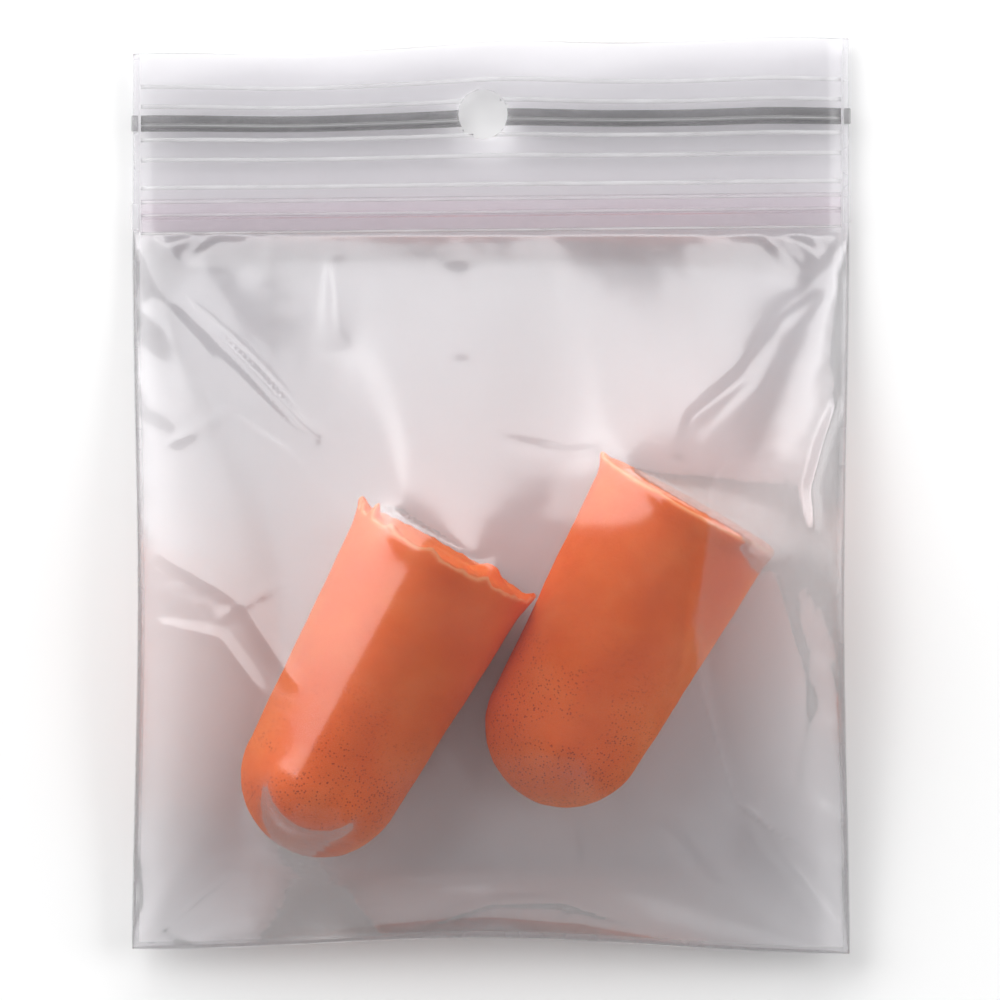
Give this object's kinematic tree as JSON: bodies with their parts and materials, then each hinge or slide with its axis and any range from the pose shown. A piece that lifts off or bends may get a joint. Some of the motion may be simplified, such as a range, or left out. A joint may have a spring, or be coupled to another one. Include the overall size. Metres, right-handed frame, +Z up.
{
  "type": "foam ear plugs in a press-to-close bag",
  "caption": "Orange bullet-shaped foam ear plugs lying loose in a small clear press-to-close bag with a punched hanging hole.",
  "frame": {"origin": "on the table, under the middle of the bag's outline", "axes": "+Y along the bag towards its mouth, +Z up from the table, +X to the right as the bag is looked at from above"},
  "size_m": [0.051, 0.0649, 0.0145],
  "materials": {
    "clear_film": "gloss",
    "zip_track": "satin",
    "grey_strip": "satin",
    "orange_foam": "matte"
  },
  "bodies": {
    "bag": {"back_film": "clear_film", "front_film": "clear_film", "bottom_fold": "clear_film", "left_side_weld": "clear_film", "right_side_weld": "clear_film", "zip_groove": "zip_track", "back_header_strip": "grey_strip", "back_grip_ribs": "clear_film", "zip_weld_ends": "zip_track", "strip_weld_ends": "grey_strip"},
    "front_lip": {"front_lip_film": "clear_film", "zip_rib": "zip_track", "front_header_strip": "grey_strip", "front_grip_ribs": "clear_film"},
    "left_ear_plug": {"left_ear_plug": "orange_foam"},
    "right_ear_plug": {"right_ear_plug": "orange_foam"}
  },
  "joints": [
    {"name": "mouth_open", "type": "hinge", "parent": "bag", "child": "front_lip", "pos_m": [0, 0.0036, 0.012], "axis": [1, 0, 0], "range_deg": [0, 42], "deforming": ["front_film", "front_lip_film", "zip_rib", "front_header_strip", "front_grip_ribs"]},
    {"name": "left_plug_out", "type": "slide", "parent": "bag", "child": "left_ear_plug", "axis": [0, 0.9925, 0.1219], "range_m": [0, 0.062]},
    {"name": "right_plug_out", "type": "slide", "parent": "bag", "child": "right_ear_plug", "axis": [0, 0.9925, 0.1219], "range_m": [0, 0.062]}
  ],
  "couplings": [
    {"joint": "right_plug_out", "follows": "left_plug_out", "ratio": 1}
  ]
}
